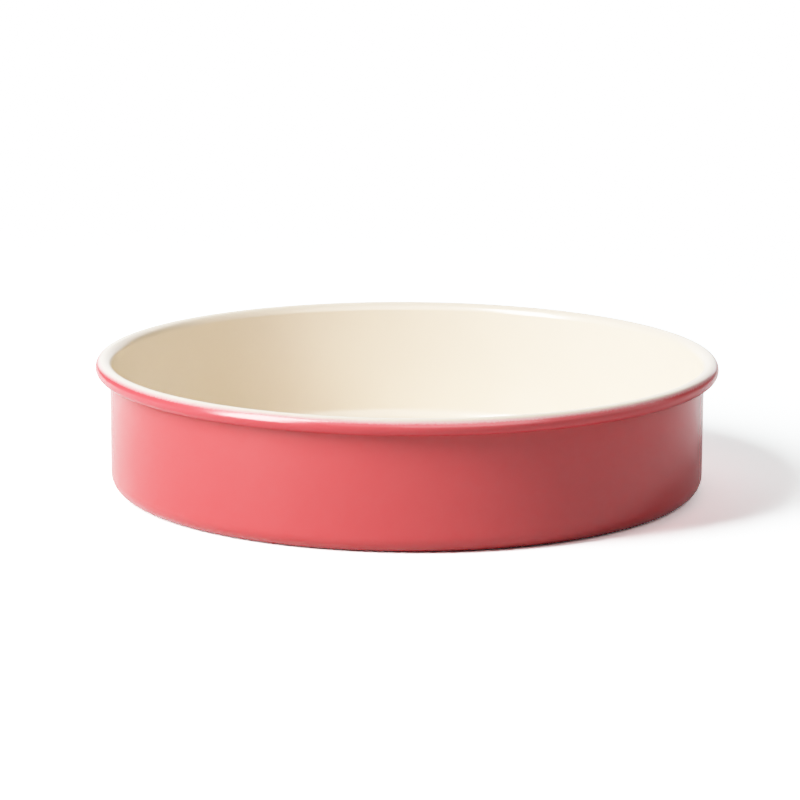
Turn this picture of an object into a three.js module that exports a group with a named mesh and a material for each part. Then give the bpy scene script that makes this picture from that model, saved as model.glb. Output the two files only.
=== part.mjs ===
// A round, straight-sided cake pan, drawn from one sheet of steel with its rim rolled outwards over a wire.
// A cream film covers the inside and the top of the rim, and a coral film covers the roll, wall and base.
// Sizes are in millimetres, +Z is up, and the origin is the centre of the base on the standing surface.

import * as THREE from 'three';

// Pan
const INSIDE_DIAMETER = 228.6; // clear width between the finished walls
const OVERALL_HEIGHT = 50.8; // standing surface to the top of the finished rim
const CORNER_RADIUS = 5.5; // finished inside radius between floor and wall
const SHEET_THICKNESS = 0.6; // drawn steel

// Rolled rim
const ROLL_DIAMETER = 6.4; // across the finished roll
const ROLL_SLIT = 0.3; // between the finished roll's raw edge and the finished wall
const WIRE_CLEARANCE = 0.1; // between the wire and the roll around it

// Sprayed finishes
const INSIDE_FILM = 0.05; // thickness of the cream film
const OUTSIDE_FILM = 0.05; // thickness of the coral film
const FILM_SEAT = 0.02; // clearance between a film and the sheet under it
const FILM_PARTING = 0.05; // clearance between the two colours where they meet on the roll
const COLOUR_LINE_ANGLE = 35; // degrees above level, on the outside of the roll, where the colours meet

// Facets
const TURN_SEGMENTS = 64; // around the pan's axis
const CORNER_STEP = 22.5; // degrees, around the corner between floor and wall
const ROLL_STEP = 30; // degrees, around the roll

// Depths through the wall, measured from the finished inside surface
const SHEET_INNER = INSIDE_FILM + FILM_SEAT;
const SHEET_OUTER = SHEET_INNER + SHEET_THICKNESS;
const OUTSIDE_FILM_INNER = SHEET_OUTER + FILM_SEAT;
const WALL = OUTSIDE_FILM_INNER + OUTSIDE_FILM;

// Section centres, as radius and height
const insideRadius = INSIDE_DIAMETER / 2;
const rollRadius = ROLL_DIAMETER / 2;
const cornerCentre = new THREE.Vector2(insideRadius - CORNER_RADIUS, WALL + CORNER_RADIUS);
const rollCentre = new THREE.Vector2(insideRadius + rollRadius, OVERALL_HEIGHT - rollRadius);

// Angles on the roll: it leaves the wall at the inner side, passes over the top and ends underneath
const ROLL_START_ANGLE = 180;
const rawEdgeCosine = (WALL + ROLL_SLIT - rollRadius) / rollRadius;
const rawEdgeAngle = -THREE.MathUtils.radToDeg(Math.acos(rawEdgeCosine));
const rawEdgeHeight = rollCentre.y + rollRadius * Math.sin(THREE.MathUtils.degToRad(rawEdgeAngle));
const halfPartingAngle = THREE.MathUtils.radToDeg(FILM_PARTING / 2 / rollRadius);

const steel = { color: 0xaeb2b5, roughness: 0.35, metalness: 1 };
const wireSteel = { color: 0x9a9da0, roughness: 0.45, metalness: 1 };
const cream = { color: 0xf3e7d6, roughness: 0.35, metalness: 0 };
const coral = { color: 0xe2625f, roughness: 0.35, metalness: 0 };

// Points along an arc in the section plane: both ends, and every whole step between them.
// Whole steps keep the facets of neighbouring layers parallel wherever their arcs run side by side.
function arc(centre, radius, startAngle, endAngle, step) {
  const direction = Math.sign(endAngle - startAngle);
  const angles = [startAngle];
  let station = direction * (Math.floor((direction * startAngle) / step) + 1) * step;
  while (direction * station < direction * endAngle) {
    angles.push(station);
    station += direction * step;
  }
  angles.push(endAngle);
  return angles.map((angle) => {
    const turn = THREE.MathUtils.degToRad(angle);
    return new THREE.Vector2(centre.x + radius * Math.cos(turn), centre.y + radius * Math.sin(turn));
  });
}

// The floor and the corner at a depth below the inside surface, from the axis to the foot of the wall.
function floorLine(depth) {
  const floorCentre = new THREE.Vector2(0, WALL - depth);
  return [floorCentre, ...arc(cornerCentre, CORNER_RADIUS + depth, -90, 0, CORNER_STEP)];
}

// The roll at a depth below the inside surface, which is its outermost face.
function rollLine(depth, startAngle, endAngle) {
  return arc(rollCentre, rollRadius - depth, startAngle, endAngle, ROLL_STEP);
}

// A layer of the section, out along its outer line and back along its inner one.
function layer(outerLine, innerLine) {
  return [...outerLine, ...innerLine.reverse()];
}

// Turns a section about the pan's axis. A section that stays off the axis is closed on itself.
function turned(name, section, finish) {
  const touchesAxis = section[0].x === 0;
  const outline = touchesAxis ? section : [...section, section[0].clone()];
  const geometry = new THREE.LatheGeometry(outline, TURN_SEGMENTS);
  geometry.rotateX(Math.PI / 2);
  const mesh = new THREE.Mesh(geometry, new THREE.MeshStandardMaterial(finish));
  mesh.name = name;
  return mesh;
}

// The drawn steel: floor, corner, wall and roll in one sheet.
function panShell() {
  const sheetLine = (depth) => [
    ...floorLine(depth),
    ...rollLine(depth, ROLL_START_ANGLE, rawEdgeAngle),
  ];
  return turned('pan_shell', layer(sheetLine(SHEET_OUTER), sheetLine(SHEET_INNER)), steel);
}

// The wire that the rim is rolled over.
function rimWire() {
  const section = rollLine(SHEET_OUTER + WIRE_CLEARANCE, 0, 360);
  section.pop();
  return turned('rim_wire', section, wireSteel);
}

// The cream film: floor, corner and wall, and over the rim to the colour line.
function insideCoating() {
  const filmLine = (depth) => [
    ...floorLine(depth),
    ...rollLine(depth, ROLL_START_ANGLE, COLOUR_LINE_ANGLE + halfPartingAngle),
  ];
  return turned('inside_coating', layer(filmLine(INSIDE_FILM), filmLine(0)), cream);
}

// The coral film on the roll, from the colour line round to the raw edge.
function rimCoating() {
  const filmLine = (depth) => rollLine(depth, COLOUR_LINE_ANGLE - halfPartingAngle, rawEdgeAngle);
  return turned('rim_coating', layer(filmLine(INSIDE_FILM), filmLine(INSIDE_FILM - OUTSIDE_FILM)), coral);
}

// The coral film on the base, the corner and the wall, up to the level of the roll's raw edge.
function outsideCoating() {
  const filmLine = (depth) => [
    ...floorLine(depth),
    new THREE.Vector2(insideRadius + depth, rawEdgeHeight),
  ];
  return turned('outside_coating', layer(filmLine(WALL), filmLine(OUTSIDE_FILM_INNER)), coral);
}

const pan = new THREE.Group();
pan.name = 'cake_pan';
pan.add(panShell(), rimWire(), insideCoating(), rimCoating(), outsideCoating());

export default pan;
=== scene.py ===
"""Dresses a round, two-colour cake pan over its construction frame, with a plain studio round it."""

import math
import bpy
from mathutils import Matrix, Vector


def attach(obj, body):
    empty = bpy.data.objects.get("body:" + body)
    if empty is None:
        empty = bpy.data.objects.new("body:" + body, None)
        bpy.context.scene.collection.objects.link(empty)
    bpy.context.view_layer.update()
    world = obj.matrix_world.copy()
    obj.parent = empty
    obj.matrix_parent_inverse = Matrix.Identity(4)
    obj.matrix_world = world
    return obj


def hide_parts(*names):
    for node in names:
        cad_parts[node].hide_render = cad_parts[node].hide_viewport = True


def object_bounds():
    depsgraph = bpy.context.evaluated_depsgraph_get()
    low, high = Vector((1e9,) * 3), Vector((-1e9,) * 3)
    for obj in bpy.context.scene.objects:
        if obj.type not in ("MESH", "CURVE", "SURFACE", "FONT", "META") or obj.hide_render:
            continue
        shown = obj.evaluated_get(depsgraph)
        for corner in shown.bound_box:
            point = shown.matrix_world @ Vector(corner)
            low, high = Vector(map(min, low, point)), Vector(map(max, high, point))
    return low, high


bl_info = {
    "name": "Cake Pan",
    "version": (1, 0, 0),
    "blender": (4, 5, 0),
    "location": "3D View > Sidebar > Cake Pan",
    "description": "Models a drawn steel cake pan with sprayed films, and its studio",
    "category": "Mesh",
}

from typing import NamedTuple

import bmesh
import bpy
from mathutils import Quaternion, Vector

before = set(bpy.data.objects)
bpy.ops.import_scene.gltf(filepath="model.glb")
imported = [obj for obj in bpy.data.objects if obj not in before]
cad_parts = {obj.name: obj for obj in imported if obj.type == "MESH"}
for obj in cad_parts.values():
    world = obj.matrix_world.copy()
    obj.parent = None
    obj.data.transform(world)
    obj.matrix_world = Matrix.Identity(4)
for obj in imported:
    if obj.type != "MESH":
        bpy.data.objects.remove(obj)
CAD_LOW, CAD_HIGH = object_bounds()

MM = 0.001  # lengths are in metres, as in the frame
QUARTER = math.pi / 2
FULL_TURN = 2 * math.pi
BODY = "root"

# Mesh detail
ROLL_POINTS = 72  # round the whole roll
CORNER_STEPS = 12  # round the corner between floor and wall
TURN_STEPS = 288  # round the pan's axis
FLOOR_RINGS = 6  # between the corner and the pan's axis
SUPPORT = 0.5 * MM  # from a curve's end to the ring that keeps the flat beside it flat
MERGE = 0.001 * MM  # points nearer than this are one
SLACK = 1e-4  # radians, when points and faces are picked by their angle
SMOOTH_ANGLE = math.radians(30)  # up to which an edge is shaded smooth

# Sprayed films. Drops and orange peel are finer in life, and are drawn as fine as they show.
FILM_INDEX = 1.5  # of refraction
SATIN = 0.2  # roughness
SATIN_SWING = 0.03
SATIN_SIZE = 6 * MM  # between glossier and duller places
SATIN_DETAIL = 2  # octaves of noise, as in the other details
CLOUD_SIZE = 22 * MM  # between thicker and thinner places
CLOUD_DETAIL = 3
CLOUD_DEPTH = 0.03
PEEL_SIZE = 1.6 * MM
PEEL_DETAIL = 0
PEEL_HEIGHT = 0.0015 * MM
MIST_SHARE = 0.5  # share of cream at which the roll's fade has the mist's own colour
LEAN = math.radians(8)  # round the roll, how much higher the fade sits on the pan's left side
LEAN_START = 0 * MM  # along X, where the fade starts to rise
LEAN_END = -55 * MM  # along X, where it is highest
SPRAY_DETAIL = 1
DRIFT_SIZE = 30 * MM  # between places where the spray reached further over the rim
DRIFT_SWING = math.radians(3)
DROP_SIZE = 0.7 * MM
DROP_SWING = math.radians(6)

# Bare steel
DRAW_LINE = 0.25 * MM  # between lines that the die left, drawn twice as wide as in life
DRAW_DETAIL = 2
DRAW_DEPTH = 0.002 * MM
STEEL_ROUGHNESS = 0.34
STEEL_SWING = 0.08

# Floor and room
WHITE = (1, 1, 1, 1)
FLOOR_SIZE = 6.0
FLOOR_DROP = 0.05 * MM  # keeps the floor's face off the pan's base
SHADOW_REACH = 0.3  # from the pan's axis, as far as the floor shows its shadow in full
BURNT_REACH = 0.7  # from the pan's axis, where the floor is pure white
SWEEP_START = 0.0  # behind the pan's axis, where the floor starts to get brighter in reflections
SWEEP_END = 0.2  # behind the pan's axis, where it is brightest

# The picture's answer to light
EVEN_LIGHT = 0.45  # light up to which it answers evenly
SHOULDER_FALL = 1.3  # how soon it answers less above that
WHITE_LIGHT = 3.0  # light that is pure white
SHOULDER_POINTS = 8  # on the curve, from even light up

# Blender's numbers for a colour Mix node's sockets and for the curve of all channels
MIX_FACTOR = 0
MIX_A = 6
MIX_B = 7
MIX_RESULT = 2
COMBINED_CURVE = 3


class SoftBox(NamedTuple):
    """A rectangular lamp's place round the pan, its size, and what it does"""

    left: float  # degrees to the left, from the camera's side
    above: float  # degrees above level
    distance: float
    width: float
    height: float
    lights: bool = True
    shows_in_gloss: bool = True


SOFT_BOXES = {
    "key": SoftBox(left=59, above=36, distance=1.5, width=0.5, height=1.1, shows_in_gloss=False),
    "glint": SoftBox(left=55.5, above=26, distance=1.5, width=0.72, height=1.5, lights=False),
    "left": SoftBox(left=92, above=18, distance=1.5, width=1.2, height=0.9, shows_in_gloss=False),
    "back": SoftBox(left=180, above=24, distance=1.6, width=1.8, height=1.3),
    "corner": SoftBox(left=228, above=30, distance=1.6, width=1.2, height=1.2, shows_in_gloss=False),
    "right": SoftBox(left=282, above=35, distance=1.5, width=1.0, height=0.8, shows_in_gloss=False),
    "upper": SoftBox(left=90, above=45, distance=1.5, width=1.4, height=0.97, lights=False),
    "front": SoftBox(left=353, above=40, distance=1.2, width=1.8, height=1.56, lights=False),
    "side": SoftBox(left=285, above=17, distance=1.5, width=1.73, height=0.85, lights=False),
    "card": SoftBox(left=337.5, above=19, distance=1.2, width=1.09, height=0.85, lights=False),
}


def linear(hex_colour):
    """An sRGB hex colour as linear red, green, blue and alpha."""
    channels = [int(hex_colour[start:start + 2], 16) / 255 for start in (1, 3, 5)]
    curve = [c / 12.92 if c <= 0.04045 else ((c + 0.055) / 1.055) ** 2.4 for c in channels]
    return (*curve, 1.0)


def length(name, description, default):
    """A length that a user may change."""
    return bpy.props.FloatProperty(
        name=name, description=description, default=default, min=0, precision=5, unit="LENGTH"
    )


def angle(name, description, degrees):
    """An angle that a user may change."""
    return bpy.props.FloatProperty(
        name=name, description=description, default=math.radians(degrees), subtype="ANGLE"
    )


def power(name, description, watts):
    """A lamp's power that a user may change."""
    return bpy.props.FloatProperty(name=name, description=description, default=watts, min=0, unit="POWER")


def brightness(name, description, default):
    """A strength of light, or a gain on it, that a user may change."""
    return bpy.props.FloatProperty(name=name, description=description, default=default, min=0)


def colour(name, description, hex_colour):
    """A colour that a user may change."""
    return bpy.props.FloatVectorProperty(
        name=name, description=description, default=linear(hex_colour),
        size=4, min=0, max=1, subtype="COLOR",
    )


class CakePanSizes(bpy.types.PropertyGroup):
    """Sizes of the pan and its films"""

    overall_diameter: length("Overall diameter", "Across the rolled rim", CAD_HIGH.x - CAD_LOW.x)
    overall_height: length("Overall height", "Standing surface to the rim's top", CAD_HIGH.z - CAD_LOW.z)
    corner_radius: length("Corner radius", "Inside, between floor and wall", 5.5 * MM)
    sheet_thickness: length("Sheet thickness", "Drawn steel", 0.6 * MM)
    roll_diameter: length("Roll diameter", "Across the finished roll", 6.4 * MM)
    roll_slit: length("Roll slit", "From the roll's raw edge to the wall", 0.3 * MM)
    wire_clearance: length("Wire clearance", "Between the wire and the roll", 0.1 * MM)
    film_thickness: length("Film thickness", "Each sprayed film", 0.05 * MM)
    film_seat: length("Film seat", "Between a film and the sheet", 0.02 * MM)
    colour_line: angle("Colour line", "Where the two films meet on the roll, above level", 35)
    coral_end: angle("Coral end", "Where the roll's fade starts from pure coral, above level", 25)
    cream_end: angle("Cream end", "Where the roll's fade ends in pure cream, above level", 62)


class CakePanColours(bpy.types.PropertyGroup):
    """Colours of the pan's finishes and of the floor"""

    coral: colour("Coral", "Enamel on the wall and the base", "#D54446")
    # Painted light: the roll's coral is lighter than the wall's to stand in for the stronger light that the
    # roll catches from the left, though it is the same enamel
    rim_coral_painted_light: colour("Rim coral", "Enamel on the roll, painted lighter than the wall's for the light it catches", "#E0444A")
    mist: colour("Mist", "Thin cream over the roll's coral, halfway along the fade", "#E6A8A8")
    cream: colour("Cream", "Ceramic film inside", "#EDDCC5")
    sheet: colour("Sheet", "Drawn steel", "#A9ADB0")
    wire: colour("Wire", "Rim wire", "#8F9396")
    paper: colour("Paper", "Studio floor, as it lights the pan", "#ACACAC")
    mirrored_paper: colour("Mirrored paper", "Studio floor, as the pan's gloss shows it", "#DADADA")
    seen_paper: colour("Seen paper", "Studio floor, as the camera shows it before its gain", "#B2B8B8")


class CakePanStudio(bpy.types.PropertyGroup):
    """Camera and light"""

    camera_distance: length("Camera distance", "From the middle of the rim", 1350 * MM)
    camera_elevation: angle("Camera elevation", "Above level", 11.17)
    camera_roll: angle("Camera roll", "About the line of sight", 0.29)
    camera_aim: bpy.props.FloatVectorProperty(
        name="Camera aim", description="Point in the middle of the picture",
        default=(-2.7 * MM, 0, 33 * MM), precision=5, subtype="TRANSLATION", unit="LENGTH",
    )
    lens: bpy.props.FloatProperty(
        name="Lens", description="Focal length, for a picture 36 mm wide",
        default=156.3, min=1, unit="CAMERA",
    )
    key_power: power("Key power", "Soft box on the left, for light alone", 51)
    glint_power: power("Glint power", "Tall soft box on the left, for reflections alone", 115)
    left_power: power("Left power", "Wide soft box on the far left, for light alone", 12.6)
    back_power: power("Back power", "Wide soft box behind", 15)
    corner_power: power("Corner power", "Soft box behind on the right, for light alone", 3)
    right_power: power("Right power", "Soft box on the right, for light alone", 4.4)
    upper_power: power("Upper power", "Panel high on the left, for reflections alone", 8.5)
    front_power: power("Front power", "Large panel over the camera, for reflections alone", 29)
    side_power: power("Side power", "Wide panel on the right, for reflections alone", 6.9)
    card_power: power("Card power", "White card right of the camera, for reflections alone", 7)
    room_light: brightness("Room light", "Even light from all round", 0.03)
    mirrored_room: brightness("Mirrored room", "Room light, as the pan's gloss shows it", 0.3)
    paper_gain: brightness("Paper gain", "How far the camera burns the floor out to white", 4.8)
    sweep_gain: brightness("Sweep gain", "How much brighter the gloss shows the floor behind the pan", 1.4)


class PanSection:
    """The pan's section, as reach from the axis and height, worked out from its sizes.

    Depth is measured from the finished inside face towards the outside one."""

    def __init__(self, sizes):
        self.roll_radius = sizes.roll_diameter / 2
        self.inside_reach = sizes.overall_diameter / 2 - sizes.roll_diameter
        self.corner_radius = sizes.corner_radius
        self.sheet_depth = sizes.film_thickness + sizes.film_seat
        self.wire_depth = self.sheet_depth + sizes.sheet_thickness + sizes.wire_clearance
        self.wall = self.sheet_depth + sizes.sheet_thickness + self.sheet_depth
        self.roll_reach = self.inside_reach + self.roll_radius
        self.roll_height = sizes.overall_height - self.roll_radius
        raw_edge_cosine = (self.wall + sizes.roll_slit - self.roll_radius) / self.roll_radius
        self.raw_edge = FULL_TURN - math.acos(-raw_edge_cosine)
        self.colour_line = math.pi - sizes.colour_line

    def travel(self, point):
        """Angle round the roll, from the wall's side over the top."""
        above_level = math.atan2(point.z - self.roll_height, point.x - self.roll_reach)
        return (math.pi - above_level + SLACK) % FULL_TURN - SLACK

    def on_roll(self, travel, depth):
        """Point on the roll, by its travel and depth."""
        radius = self.roll_radius - depth
        return Vector((
            self.roll_reach - radius * math.cos(travel), 0, self.roll_height + radius * math.sin(travel)
        ))


def pick(kind, test):
    """In edit mode, selects the verts, edges or faces that pass a test, and nothing else."""
    bpy.ops.mesh.select_mode(type=kind)
    bpy.ops.mesh.select_all(action="DESELECT")
    mesh = bmesh.from_edit_mesh(bpy.context.edit_object.data)
    elements = {"VERT": mesh.verts, "EDGE": mesh.edges, "FACE": mesh.faces}[kind]
    found = [element for element in elements if test(element)]
    if not found:
        raise RuntimeError(f"{bpy.context.edit_object.name}: nothing to pick")
    for element in found:
        element.select_set(True)
    mesh.select_flush_mode()
    bmesh.update_edit_mesh(bpy.context.edit_object.data)


def draw_out(start, *stops):
    """Extrudes the point at start from stop to stop."""
    pick("VERT", lambda vert: (vert.co - start).length < MERGE)
    for here, there in zip((start, *stops), stops):
        bpy.ops.mesh.extrude_region_move(TRANSFORM_OT_translate={"value": there - here})


def open_for_editing(name):
    """Names the primitive just added, puts its place in its mesh and opens it for editing."""
    piece = bpy.context.active_object
    piece.name = name
    piece.data.name = name
    bpy.ops.object.transform_apply(location=True, rotation=True, scale=True)
    bpy.ops.object.mode_set(mode="EDIT")
    return piece


def add_roll(name, section, depth):
    """Adds the roll's whole circle at a depth, open for editing."""
    bpy.ops.object.select_all(action="DESELECT")
    bpy.ops.mesh.primitive_circle_add(
        vertices=ROLL_POINTS,
        radius=section.roll_radius - depth,
        location=(section.roll_reach, 0, section.roll_height),
        rotation=(QUARTER, 0, 0),
    )
    return open_for_editing(name)


def trim_roll(section, depth, first, last):
    """Cuts the circle open, so that it runs from the first travel angle to the last."""
    pick("VERT", lambda vert: not first - SLACK <= section.travel(vert.co) <= last + SLACK)
    bpy.ops.mesh.delete(type="VERT")
    mesh = bmesh.from_edit_mesh(bpy.context.edit_object.data)
    travels = [section.travel(vert.co) for vert in mesh.verts]
    for end, reached in ((first, min(travels)), (last, max(travels))):
        if abs(end - reached) > SLACK:
            draw_out(section.on_roll(reached, depth), section.on_roll(end, depth))


def draw_wall_and_floor(section, depth):
    """Runs the roll's inner end down the wall, round the corner and along the floor to the axis."""
    reach = section.inside_reach + depth
    floor = section.wall - depth
    corner = section.corner_radius + depth
    flat = reach - corner
    wall_stops = (section.roll_height - SUPPORT, floor + corner + SUPPORT, floor + corner)
    floor_stops = (flat - SUPPORT, *(flat * ring / FLOOR_RINGS for ring in reversed(range(FLOOR_RINGS))))
    draw_out(section.on_roll(0, depth), *(Vector((reach, 0, height)) for height in wall_stops))
    bpy.ops.mesh.spin(
        steps=CORNER_STEPS, angle=QUARTER, center=(flat, 0, floor + corner), axis=(0, -1, 0)
    )
    draw_out(Vector((flat, 0, floor)), *(Vector((stop, 0, floor)) for stop in floor_stops))


def turn_section():
    """Spins the section about the pan's axis, and turns its highest face up."""
    bpy.ops.mesh.select_all(action="SELECT")
    bpy.ops.mesh.spin(steps=TURN_STEPS, angle=FULL_TURN, center=(0, 0, 0), axis=(0, 0, 1))
    bpy.ops.mesh.select_all(action="SELECT")
    bpy.ops.mesh.remove_doubles(threshold=MERGE)
    bpy.ops.mesh.normals_make_consistent(inside=False)
    mesh = bmesh.from_edit_mesh(bpy.context.edit_object.data)
    highest = max(mesh.faces, key=lambda face: face.calc_center_median().z)
    if highest.normal.z < 0:
        bpy.ops.mesh.flip_normals()
    bpy.ops.object.mode_set(mode="OBJECT")


def thicken(piece, thickness):
    """Gives a surface its thickness, behind the face that it was drawn on."""
    solidify = piece.modifiers.new("Thickness", "SOLIDIFY")
    solidify.thickness = thickness
    solidify.offset = -1  # wholly behind
    solidify.use_even_offset = True
    bpy.ops.object.modifier_apply(modifier=solidify.name)


def finish_piece(piece, node, material):
    """Smooths a modelled piece, gives it its material and puts it in its node's place."""
    bpy.ops.object.shade_smooth_by_angle(angle=SMOOTH_ANGLE)
    piece.data.materials.append(material)
    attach(piece, BODY)
    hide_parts(node)


def add_node(tree, kind, settings=None, links=None):
    """Adds a node, sets its sockets and properties by name or number, and links its inputs."""
    node = tree.nodes.new(kind)
    for name, value in (settings or {}).items():
        if isinstance(name, int) or name in node.inputs:
            node.inputs[name].default_value = value
        else:
            setattr(node, name, value)
    for name, source in (links or {}).items():
        tree.links.new(source, node.inputs[name])
    return node


def new_material(name):
    """A material without a shader yet, its node tree, and the place on its piece that patterns go by."""
    material = bpy.data.materials.new(name)
    material.use_nodes = True
    tree = material.node_tree
    tree.nodes.clear()
    place = add_node(tree, "ShaderNodeTexCoord").outputs["Object"]
    return material, tree, place


def reach_from_axis(tree, place):
    """How far a place lies from the pan's axis."""
    level = add_node(tree, "ShaderNodeVectorMath", {"operation": "MULTIPLY", 1: (1, 1, 0)}, {0: place})
    reach = add_node(tree, "ShaderNodeVectorMath", {"operation": "LENGTH"}, {0: level.outputs["Vector"]})
    return reach.outputs["Value"]


def wander(tree, place, size, detail, low, high):
    """A value that wanders between low and high over the surface, in patches of the given size."""
    noise = add_node(tree, "ShaderNodeTexNoise", {"Scale": 1 / size, "Detail": detail}, {"Vector": place})
    value = add_node(
        tree, "ShaderNodeMapRange", {"To Min": low, "To Max": high}, {"Value": noise.outputs["Fac"]}
    )
    return value.outputs["Result"]


def overspray_share(tree, place, sizes, offset, inverse):
    """How much of the film's colour is cream, by the angle above level on the roll.

    offset is how far a point lies outside or above the roll's centre, and inverse turns its share of
    the roll's radius into that angle. The spray's lean, its drift and its drops move the fade."""
    ratio = add_node(
        tree, "ShaderNodeMath",
        {"operation": "DIVIDE", 1: sizes.roll_diameter / 2}, {0: offset.outputs["Value"]},
    )
    above_level = add_node(tree, "ShaderNodeMath", {"operation": inverse}, {0: ratio.outputs["Value"]})
    apart = add_node(tree, "ShaderNodeSeparateXYZ", links={"Vector": place})
    lean = add_node(
        tree, "ShaderNodeMapRange",
        {
            "interpolation_type": "SMOOTHSTEP",
            "From Min": LEAN_END,
            "From Max": LEAN_START,
            "To Min": -LEAN,
            "To Max": 0,
        },
        {"Value": apart.outputs["X"]},
    )
    drift = wander(tree, place, DRIFT_SIZE, SPRAY_DETAIL, -DRIFT_SWING, DRIFT_SWING)
    drops = wander(tree, place, DROP_SIZE, SPRAY_DETAIL, -DROP_SWING, DROP_SWING)
    for shift in (lean.outputs["Result"], drift, drops):
        above_level = add_node(
            tree, "ShaderNodeMath", {"operation": "ADD"}, {0: above_level.outputs["Value"], 1: shift}
        )
    fade = add_node(
        tree, "ShaderNodeMapRange",
        {"From Min": sizes.coral_end, "From Max": sizes.cream_end}, {"Value": above_level.outputs["Value"]},
    )
    return fade.outputs["Result"]


def lay_film(tree, place, share, coral, colours):
    """Fades coral into cream by the share of cream, and adds the clouds, satin and orange peel."""
    thin = add_node(tree, "ShaderNodeMapRange", {"From Max": MIST_SHARE}, {"Value": share})
    thick = add_node(tree, "ShaderNodeMapRange", {"From Min": MIST_SHARE}, {"Value": share})
    misted = add_node(
        tree, "ShaderNodeMix",
        {"data_type": "RGBA", MIX_A: coral, MIX_B: colours.mist}, {MIX_FACTOR: thin.outputs["Result"]},
    )
    mixed = add_node(
        tree, "ShaderNodeMix", {"data_type": "RGBA", MIX_B: colours.cream},
        {MIX_FACTOR: thick.outputs["Result"], MIX_A: misted.outputs[MIX_RESULT]},
    )
    clouds = wander(tree, place, CLOUD_SIZE, CLOUD_DETAIL, 1 - CLOUD_DEPTH, 1 + CLOUD_DEPTH)
    base = add_node(
        tree, "ShaderNodeHueSaturation", links={"Color": mixed.outputs[MIX_RESULT], "Value": clouds}
    )
    satin = wander(tree, place, SATIN_SIZE, SATIN_DETAIL, SATIN - SATIN_SWING, SATIN + SATIN_SWING)
    ripples = add_node(
        tree, "ShaderNodeTexNoise", {"Scale": 1 / PEEL_SIZE, "Detail": PEEL_DETAIL}, {"Vector": place}
    )
    peel = add_node(
        tree, "ShaderNodeBump", {"Strength": 1, "Distance": PEEL_HEIGHT}, {"Height": ripples.outputs["Fac"]}
    )
    shader = add_node(
        tree, "ShaderNodeBsdfPrincipled", {"IOR": FILM_INDEX},
        {"Base Color": base.outputs["Color"], "Roughness": satin, "Normal": peel.outputs["Normal"]},
    )
    add_node(tree, "ShaderNodeOutputMaterial", links={"Surface": shader.outputs["BSDF"]})


def cream_ceramic(sizes, colours):
    """Sol-gel ceramic, sprayed and stoved: warm white, smooth and satin, with soft bright reflections."""
    material, tree, place = new_material("Cream sol-gel ceramic")
    offset = add_node(
        tree, "ShaderNodeMath",
        {"operation": "SUBTRACT", 1: PanSection(sizes).roll_reach}, {0: reach_from_axis(tree, place)},
    )
    share = overspray_share(tree, place, sizes, offset, "ARCCOSINE")
    # The coral below the colour line is the roll's coral with painted light, lighter than the wall's
    lay_film(tree, place, share, colours.rim_coral_painted_light, colours)
    return material


def coral_enamel(name, coral, sizes, colours):
    """Stoved silicone enamel, sprayed: a deep coral that fades to cream in fine drops on the rim."""
    material, tree, place = new_material(name)
    apart = add_node(tree, "ShaderNodeSeparateXYZ", links={"Vector": place})
    offset = add_node(
        tree, "ShaderNodeMath",
        {"operation": "SUBTRACT", 1: PanSection(sizes).roll_height}, {0: apart.outputs["Z"]},
    )
    share = overspray_share(tree, place, sizes, offset, "ARCSINE")
    lay_film(tree, place, share, coral, colours)
    return material


def bare_steel(name, tint):
    """Cold-drawn steel: a soft grey sheen with fine bright lines that run round the pan's axis."""
    material, tree, place = new_material(name)
    apart = add_node(tree, "ShaderNodeSeparateXYZ", links={"Vector": place})
    across = add_node(
        tree, "ShaderNodeCombineXYZ", links={"X": reach_from_axis(tree, place), "Y": apart.outputs["Z"]}
    )
    lines = add_node(
        tree, "ShaderNodeTexNoise",
        {"Scale": 1 / DRAW_LINE, "Detail": DRAW_DETAIL}, {"Vector": across.outputs["Vector"]},
    )
    sheen = add_node(
        tree, "ShaderNodeMapRange",
        {"To Min": STEEL_ROUGHNESS - STEEL_SWING, "To Max": STEEL_ROUGHNESS + STEEL_SWING},
        {"Value": lines.outputs["Fac"]},
    )
    grooves = add_node(
        tree, "ShaderNodeBump", {"Strength": 1, "Distance": DRAW_DEPTH}, {"Height": lines.outputs["Fac"]}
    )
    shader = add_node(
        tree, "ShaderNodeBsdfPrincipled", {"Base Color": tint, "Metallic": 1},
        {"Roughness": sheen.outputs["Result"], "Normal": grooves.outputs["Normal"]},
    )
    add_node(tree, "ShaderNodeOutputMaterial", links={"Surface": shader.outputs["BSDF"]})
    return material


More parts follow.
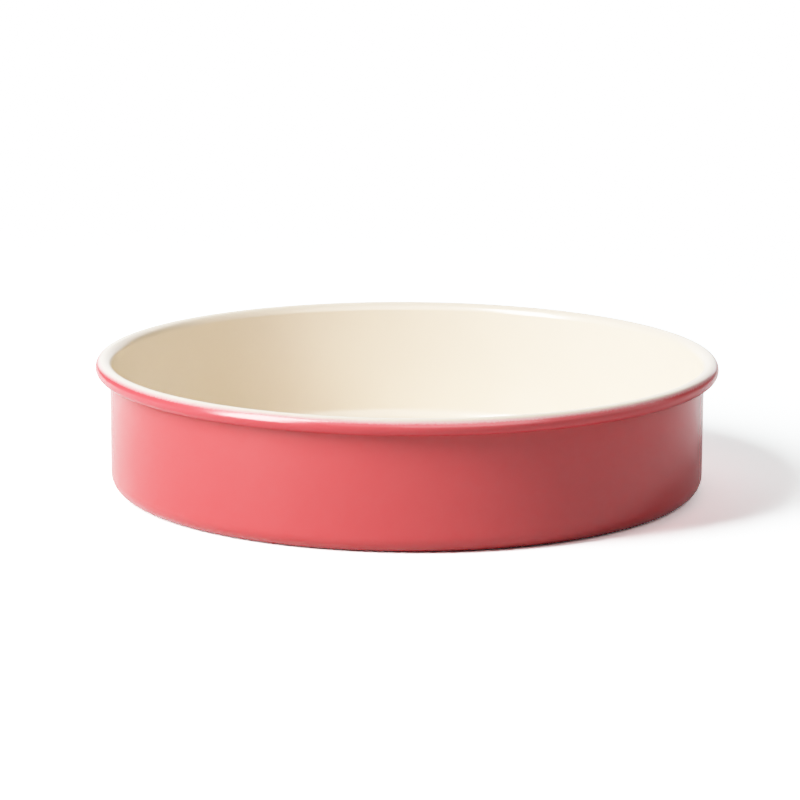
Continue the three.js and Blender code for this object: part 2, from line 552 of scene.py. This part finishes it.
def studio_paper(colours, studio):
    """Seamless paper: matt, burnt out to white in the picture while it lights the pan as pale grey.

    The pan's gloss shows it as a lighter grey, and lighter still behind, where such paper sweeps up."""
    material, tree, place = new_material("Studio paper")
    away = add_node(tree, "ShaderNodeVectorMath", {"operation": "LENGTH"}, {0: place})
    burnt = add_node(
        tree, "ShaderNodeMapRange",
        {"interpolation_type": "SMOOTHSTEP", "From Min": SHADOW_REACH, "From Max": BURNT_REACH},
        {"Value": away.outputs["Value"]},
    )
    near_colour = (*(studio.paper_gain * channel for channel in colours.seen_paper[:3]), 1)
    near = add_node(tree, "ShaderNodeBsdfDiffuse", {"Color": near_colour})
    far = add_node(tree, "ShaderNodeEmission", {"Color": WHITE, "Strength": WHITE_LIGHT})
    seen = add_node(
        tree, "ShaderNodeMixShader",
        links={0: burnt.outputs["Result"], 1: near.outputs["BSDF"], 2: far.outputs["Emission"]},
    )
    apart = add_node(tree, "ShaderNodeSeparateXYZ", links={"Vector": place})
    behind = add_node(
        tree, "ShaderNodeMapRange",
        {
            "interpolation_type": "SMOOTHSTEP",
            "From Min": SWEEP_START,
            "From Max": SWEEP_END,
            "To Min": 1,
            "To Max": studio.sweep_gain,
        },
        {"Value": apart.outputs["Y"]},
    )
    mirrored = add_node(
        tree, "ShaderNodeVectorMath",
        {"operation": "SCALE", 0: colours.mirrored_paper[:3]}, {"Scale": behind.outputs["Result"]},
    )
    rays = add_node(tree, "ShaderNodeLightPath")
    unseen_colour = add_node(
        tree, "ShaderNodeMix", {"data_type": "RGBA", MIX_A: colours.paper},
        {MIX_FACTOR: rays.outputs["Is Glossy Ray"], MIX_B: mirrored.outputs["Vector"]},
    )
    unseen = add_node(tree, "ShaderNodeBsdfDiffuse", links={"Color": unseen_colour.outputs[MIX_RESULT]})
    paper = add_node(
        tree, "ShaderNodeMixShader",
        links={0: rays.outputs["Is Camera Ray"], 1: unseen.outputs["BSDF"], 2: seen.outputs["Shader"]},
    )
    add_node(tree, "ShaderNodeOutputMaterial", links={"Surface": paper.outputs["Shader"]})
    return material


class CAKEPAN_OT_drawn_shell(bpy.types.Operator):
    """Draws the steel sheet, from the middle of the floor to the raw edge of the rolled rim"""

    bl_idname = "cakepan.drawn_shell"
    bl_label = "Drawn Shell"

    def execute(self, context):
        sizes = context.scene.cake_pan_sizes
        section = PanSection(sizes)
        piece = add_roll("drawn_shell", section, section.sheet_depth)
        trim_roll(section, section.sheet_depth, first=0, last=section.raw_edge)
        draw_wall_and_floor(section, section.sheet_depth)
        turn_section()
        thicken(piece, sizes.sheet_thickness)
        steel = bare_steel("Drawn sheet steel", context.scene.cake_pan_colours.sheet)
        finish_piece(piece, "pan_shell", steel)
        return {"FINISHED"}


class CAKEPAN_OT_bead_wire(bpy.types.Operator):
    """Bends the wire that the rim is rolled over"""

    bl_idname = "cakepan.bead_wire"
    bl_label = "Bead Wire"

    def execute(self, context):
        section = PanSection(context.scene.cake_pan_sizes)
        piece = add_roll("bead_wire", section, section.wire_depth)
        turn_section()
        steel = bare_steel("Drawn wire steel", context.scene.cake_pan_colours.wire)
        finish_piece(piece, "rim_wire", steel)
        return {"FINISHED"}


class CAKEPAN_OT_cream_lining(bpy.types.Operator):
    """Sprays the cream film over the floor, the wall and the top of the rim"""

    bl_idname = "cakepan.cream_lining"
    bl_label = "Cream Lining"

    def execute(self, context):
        sizes = context.scene.cake_pan_sizes
        section = PanSection(sizes)
        piece = add_roll("cream_lining", section, depth=0)
        trim_roll(section, depth=0, first=0, last=section.colour_line)
        draw_wall_and_floor(section, depth=0)
        turn_section()
        thicken(piece, sizes.film_thickness)
        ceramic = cream_ceramic(sizes, context.scene.cake_pan_colours)
        finish_piece(piece, "inside_coating", ceramic)
        return {"FINISHED"}


class CAKEPAN_OT_rim_enamel(bpy.types.Operator):
    """Sprays the coral film on the roll, from the colour line to the raw edge"""

    bl_idname = "cakepan.rim_enamel"
    bl_label = "Rim Enamel"

    def execute(self, context):
        sizes = context.scene.cake_pan_sizes
        colours = context.scene.cake_pan_colours
        section = PanSection(sizes)
        piece = add_roll("rim_enamel", section, depth=0)
        trim_roll(section, depth=0, first=section.colour_line, last=section.raw_edge)
        turn_section()
        thicken(piece, sizes.film_thickness)
        # The roll's coral has painted light: it is drawn lighter than the wall's for the light that the
        # roll catches
        enamel = coral_enamel("Coral enamel over cream", colours.rim_coral_painted_light, sizes, colours)
        finish_piece(piece, "rim_coating", enamel)
        return {"FINISHED"}


class CAKEPAN_OT_wall_enamel(bpy.types.Operator):
    """Sprays the coral film on the wall, the corner and the base"""

    bl_idname = "cakepan.wall_enamel"
    bl_label = "Wall Enamel"

    def execute(self, context):
        sizes = context.scene.cake_pan_sizes
        colours = context.scene.cake_pan_colours
        section = PanSection(sizes)
        height = section.on_roll(section.raw_edge, depth=0).z
        corner = section.corner_radius + section.wall
        bpy.ops.object.select_all(action="DESELECT")
        bpy.ops.mesh.primitive_cylinder_add(
            vertices=TURN_STEPS,
            radius=section.inside_reach + section.wall,
            depth=height,
            location=(0, 0, height / 2),
        )
        piece = open_for_editing("wall_enamel")
        # Opens the top
        pick("FACE", lambda face: face.normal.z > SLACK)
        bpy.ops.mesh.delete(type="FACE")
        # Cuts the ring that keeps the wall straight above the corner
        bpy.ops.mesh.select_all(action="SELECT")
        bpy.ops.mesh.bisect(plane_co=(0, 0, corner + SUPPORT), plane_no=(0, 0, 1))
        # Rounds the corner
        pick("EDGE", lambda edge: all(vert.co.z < MERGE for vert in edge.verts))
        bpy.ops.mesh.bevel(offset=corner, segments=CORNER_STEPS, affect="EDGES")
        # Rings the base beside the corner, and fills it with triangles round its middle
        pick("FACE", lambda face: len(face.verts) == TURN_STEPS)
        bpy.ops.mesh.inset(thickness=SUPPORT)
        bpy.ops.mesh.poke()
        bpy.ops.object.mode_set(mode="OBJECT")
        thicken(piece, sizes.film_thickness)
        enamel = coral_enamel("Coral silicone enamel", colours.coral, sizes, colours)
        finish_piece(piece, "outside_coating", enamel)
        return {"FINISHED"}


def picture_answer(light):
    """How bright an amount of light comes out in the picture, with a soft shoulder up to white."""
    if light <= EVEN_LIGHT:
        return light
    rise = 1 - math.exp(-SHOULDER_FALL * (light - EVEN_LIGHT))
    full_rise = 1 - math.exp(-SHOULDER_FALL * (WHITE_LIGHT - EVEN_LIGHT))
    return EVEN_LIGHT + (1 - EVEN_LIGHT) * rise / full_rise


class CAKEPAN_OT_studio(bpy.types.Operator):
    """Sets the pan on a pale floor, with soft light from the left and the camera in front"""

    bl_idname = "cakepan.studio"
    bl_label = "Studio"

    def add_floor(self, colours, studio):
        """Lays the paper that the pan stands on."""
        bpy.ops.object.select_all(action="DESELECT")
        bpy.ops.mesh.primitive_plane_add(size=FLOOR_SIZE, location=(0, 0, -FLOOR_DROP))
        floor = bpy.context.active_object
        floor.name = "studio_floor"
        floor.data.materials.append(studio_paper(colours, studio))

    def add_camera(self, scene, studio, rim_centre):
        """Stands the camera in front of the pan, turned a little about its line of sight."""
        away = Vector((0, -math.cos(studio.camera_elevation), math.sin(studio.camera_elevation)))
        place = rim_centre + studio.camera_distance * away
        look = (Vector(studio.camera_aim) - place).to_track_quat("-Z", "Y")
        turned = look @ Quaternion((0, 0, 1), studio.camera_roll)
        bpy.ops.object.camera_add(location=place, rotation=turned.to_euler())
        scene.camera = bpy.context.active_object
        scene.camera.data.lens = studio.lens

    def add_soft_box(self, name, box, watts, aim):
        """Hangs a lamp that faces the aim and that the camera doesn't see."""
        left = math.radians(box.left)
        above = math.radians(box.above)
        level = math.cos(above)
        away = Vector((-math.sin(left) * level, -math.cos(left) * level, math.sin(above)))
        look = (-away).to_track_quat("-Z", "Y")
        bpy.ops.object.light_add(type="AREA", location=aim + box.distance * away, rotation=look.to_euler())
        lamp = bpy.context.active_object
        lamp.name = f"{name}_soft_box"
        lamp.data.shape = "RECTANGLE"
        lamp.data.size = box.width
        lamp.data.size_y = box.height
        lamp.data.energy = watts
        lamp.visible_camera = False
        lamp.visible_diffuse = box.lights
        lamp.visible_glossy = box.shows_in_gloss

    def add_room(self, scene, studio):
        """Adds a dim room, brighter in the pan's gloss and white where the camera sees past the floor."""
        scene.world = bpy.data.worlds.new("Room")
        scene.world.use_nodes = True
        tree = scene.world.node_tree
        tree.nodes.clear()
        rays = add_node(tree, "ShaderNodeLightPath")
        strength = add_node(
            tree, "ShaderNodeMapRange",
            {"To Min": studio.room_light, "To Max": studio.mirrored_room},
            {"Value": rays.outputs["Is Glossy Ray"]},
        )
        dim = add_node(
            tree, "ShaderNodeBackground", {"Color": WHITE}, {"Strength": strength.outputs["Result"]}
        )
        bright = add_node(tree, "ShaderNodeBackground", {"Color": WHITE, "Strength": WHITE_LIGHT})
        room = add_node(
            tree, "ShaderNodeMixShader",
            links={
                0: rays.outputs["Is Camera Ray"],
                1: dim.outputs["Background"],
                2: bright.outputs["Background"],
            },
        )
        add_node(tree, "ShaderNodeOutputWorld", links={"Surface": room.outputs["Shader"]})

    def set_picture_curve(self, view):
        """Makes the picture answer light evenly at first, and then ever less up to white."""
        view.view_transform = "Standard"
        view.use_curve_mapping = True
        mapping = view.curve_mapping
        mapping.white_level = (WHITE_LIGHT, WHITE_LIGHT, WHITE_LIGHT)
        curve = mapping.curves[COMBINED_CURVE]
        shoulder = WHITE_LIGHT - EVEN_LIGHT
        lights = [EVEN_LIGHT + shoulder * step / SHOULDER_POINTS for step in range(SHOULDER_POINTS)]
        for light in (EVEN_LIGHT / 2, *lights):
            curve.points.new(light / WHITE_LIGHT, picture_answer(light))
        mapping.update()

    def execute(self, context):
        scene = context.scene
        studio = scene.cake_pan_studio
        section = PanSection(scene.cake_pan_sizes)
        rim_centre = Vector((0, 0, section.roll_height))
        self.add_floor(scene.cake_pan_colours, studio)
        self.add_camera(scene, studio, rim_centre)
        for name, box in SOFT_BOXES.items():
            self.add_soft_box(name, box, getattr(studio, f"{name}_power"), rim_centre)
        self.add_room(scene, studio)
        self.set_picture_curve(scene.view_settings)
        return {"FINISHED"}


class CAKEPAN_PT_sidebar(bpy.types.Panel):
    """Lists the pan's sizes, colours, studio and pieces"""

    bl_idname = "CAKEPAN_PT_sidebar"
    bl_label = "Cake Pan"
    bl_space_type = "VIEW_3D"
    bl_region_type = "UI"
    bl_category = "Cake Pan"

    def draw(self, context):
        scene = context.scene
        for group in (scene.cake_pan_sizes, scene.cake_pan_colours, scene.cake_pan_studio):
            box = self.layout.box()
            for name in group.bl_rna.properties.keys():
                if name not in {"rna_type", "name"}:
                    box.prop(group, name)
        for operator in OPERATORS:
            self.layout.operator(operator.bl_idname)


GROUPS = {
    "cake_pan_sizes": CakePanSizes,
    "cake_pan_colours": CakePanColours,
    "cake_pan_studio": CakePanStudio,
}
OPERATORS = (
    CAKEPAN_OT_studio,
    CAKEPAN_OT_drawn_shell,
    CAKEPAN_OT_bead_wire,
    CAKEPAN_OT_cream_lining,
    CAKEPAN_OT_rim_enamel,
    CAKEPAN_OT_wall_enamel,
)
CLASSES = (*GROUPS.values(), *OPERATORS, CAKEPAN_PT_sidebar)


def register():
    for cls in CLASSES:
        bpy.utils.register_class(cls)
    for name, group in GROUPS.items():
        setattr(bpy.types.Scene, name, bpy.props.PointerProperty(type=group))


def unregister():
    for name in GROUPS:
        delattr(bpy.types.Scene, name)
    for cls in reversed(CLASSES):
        bpy.utils.unregister_class(cls)


def main():
    register()
    bpy.ops.cakepan.studio()
    bpy.ops.cakepan.drawn_shell()
    bpy.ops.cakepan.bead_wire()
    bpy.ops.cakepan.cream_lining()
    bpy.ops.cakepan.rim_enamel()
    bpy.ops.cakepan.wall_enamel()


if __name__ == "__main__":
    main()
